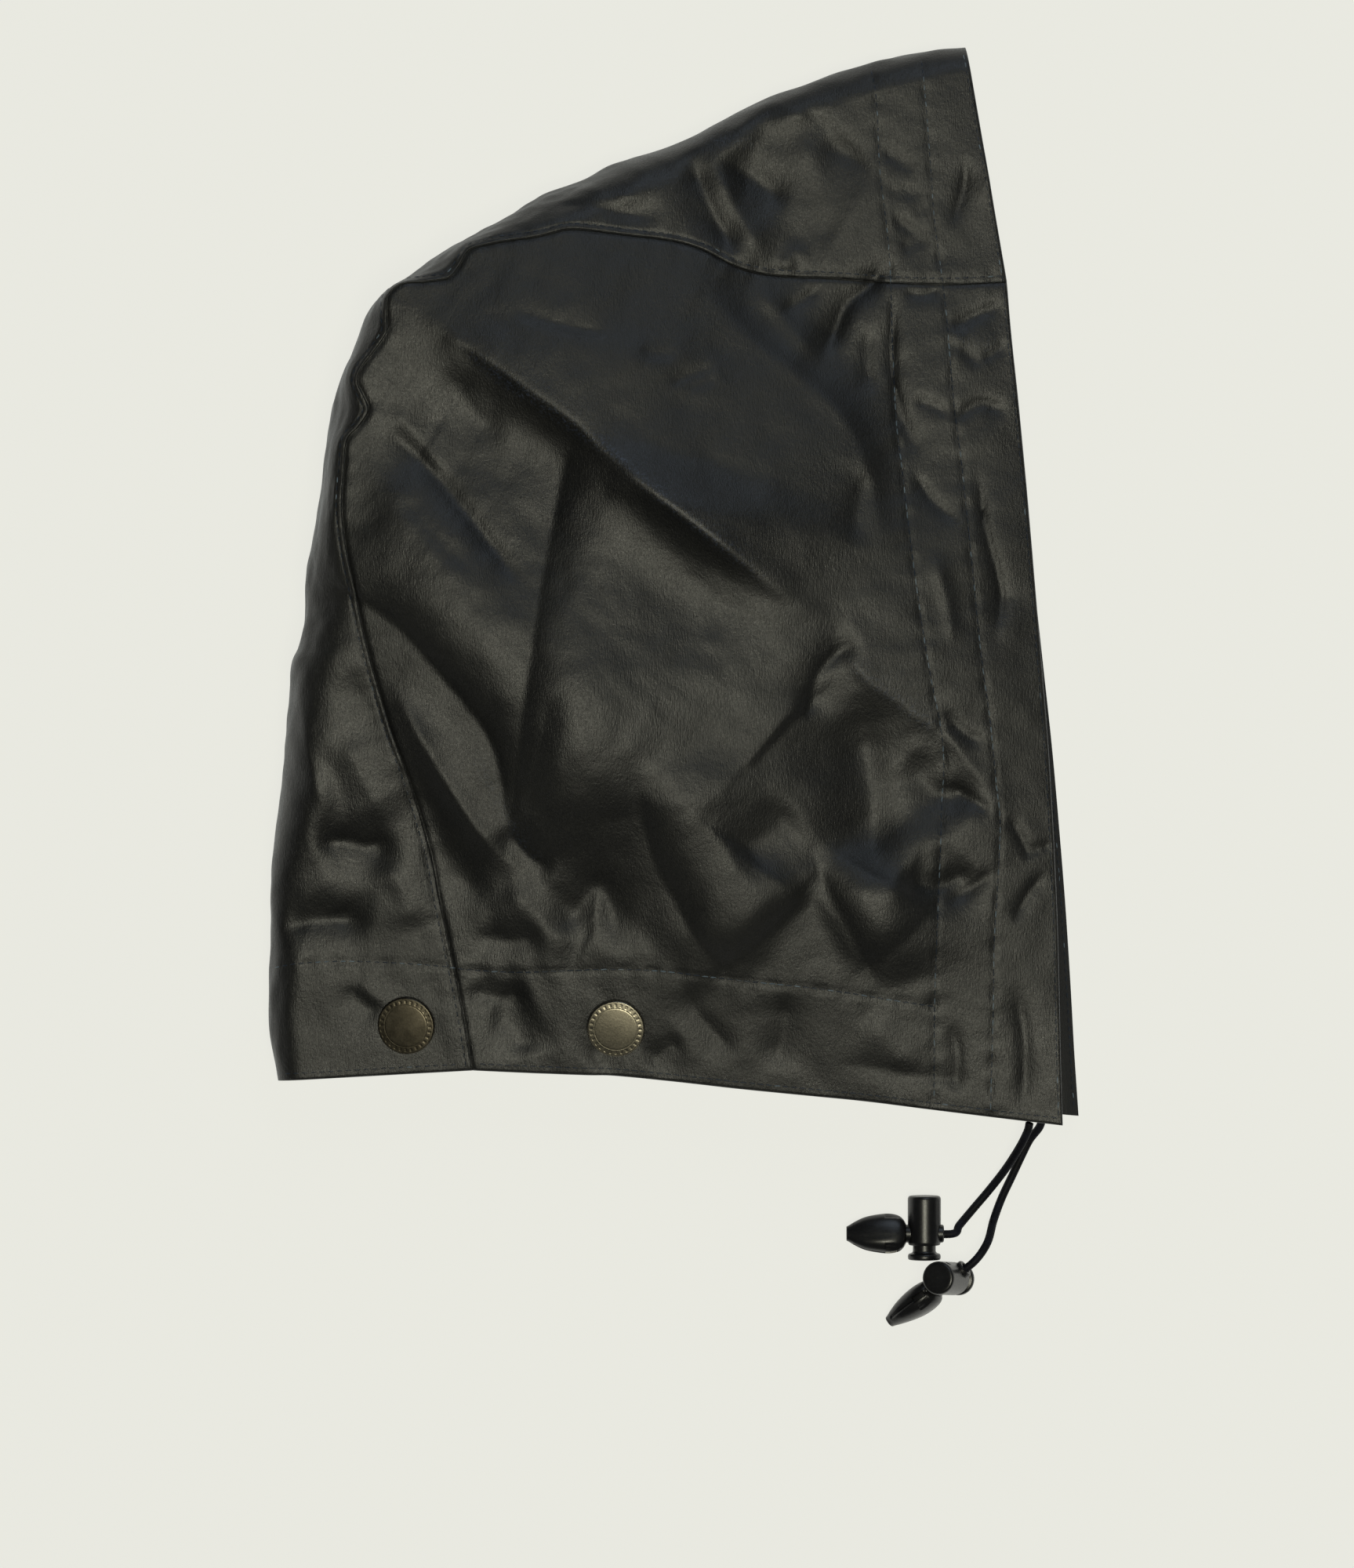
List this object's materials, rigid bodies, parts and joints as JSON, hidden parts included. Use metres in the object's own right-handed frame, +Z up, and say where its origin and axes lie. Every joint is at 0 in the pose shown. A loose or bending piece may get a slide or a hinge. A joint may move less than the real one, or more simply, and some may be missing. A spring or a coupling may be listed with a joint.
{
  "type": "detachable hood with a drawcord",
  "caption": "Detachable three-panel hood of waxed cotton lying on its side, with four press fasteners on its neck band and a drawcord with spring locks at the face opening.",
  "frame": {"origin": "on the table, under the middle of the hood's box without the free ends of the drawcord", "axes": "+X from the back fold to the face opening, +Y from the neck edge to the peak, +Z up from the table through the thickness of the folded hood"},
  "size_m": [0.2538, 0.4007, 0.0449],
  "materials": {
    "waxed_cotton": "waxed, soft sheen, creased",
    "facing_cotton": "matt twill",
    "antique_brass": "antique, satin",
    "braid": "matt braid",
    "black_nylon": "fine satin"
  },
  "bodies": {
    "hood": {"side_panel_near": "waxed_cotton", "side_panel_far": "waxed_cotton", "centre_panel": "waxed_cotton", "casing_near": "facing_cotton", "casing_top": "facing_cotton", "casing_far": "facing_cotton", "neck_facing_near": "facing_cotton", "neck_facing_back": "facing_cotton", "neck_facing_far": "facing_cotton", "drawcord_hidden": "braid", "drawcord_near": "braid", "drawcord_far": "braid", "snap_cap_near_front": "antique_brass", "snap_socket_near_front": "antique_brass", "snap_cap_near_back": "antique_brass", "snap_socket_near_back": "antique_brass", "snap_cap_far_front": "antique_brass", "snap_socket_far_front": "antique_brass", "snap_cap_far_back": "antique_brass", "snap_socket_far_back": "antique_brass", "lock_barrel_near": "black_nylon", "cord_bell_near": "black_nylon", "lock_barrel_far": "black_nylon", "cord_bell_far": "black_nylon"},
    "plunger_near": {"lock_plunger_near": "black_nylon"},
    "plunger_far": {"lock_plunger_far": "black_nylon"}
  },
  "joints": [
    {"name": "press_plunger_near", "type": "slide", "parent": "hood", "child": "plunger_near", "axis": [0, 1, 0], "range_m": [0, 0.002], "stiffness_N_per_m": 300, "springref_m": -0.004},
    {"name": "press_plunger_far", "type": "slide", "parent": "hood", "child": "plunger_far", "axis": [-0.383, 0.085, 0.9198], "range_m": [0, 0.002], "stiffness_N_per_m": 300, "springref_m": -0.004}
  ]
}
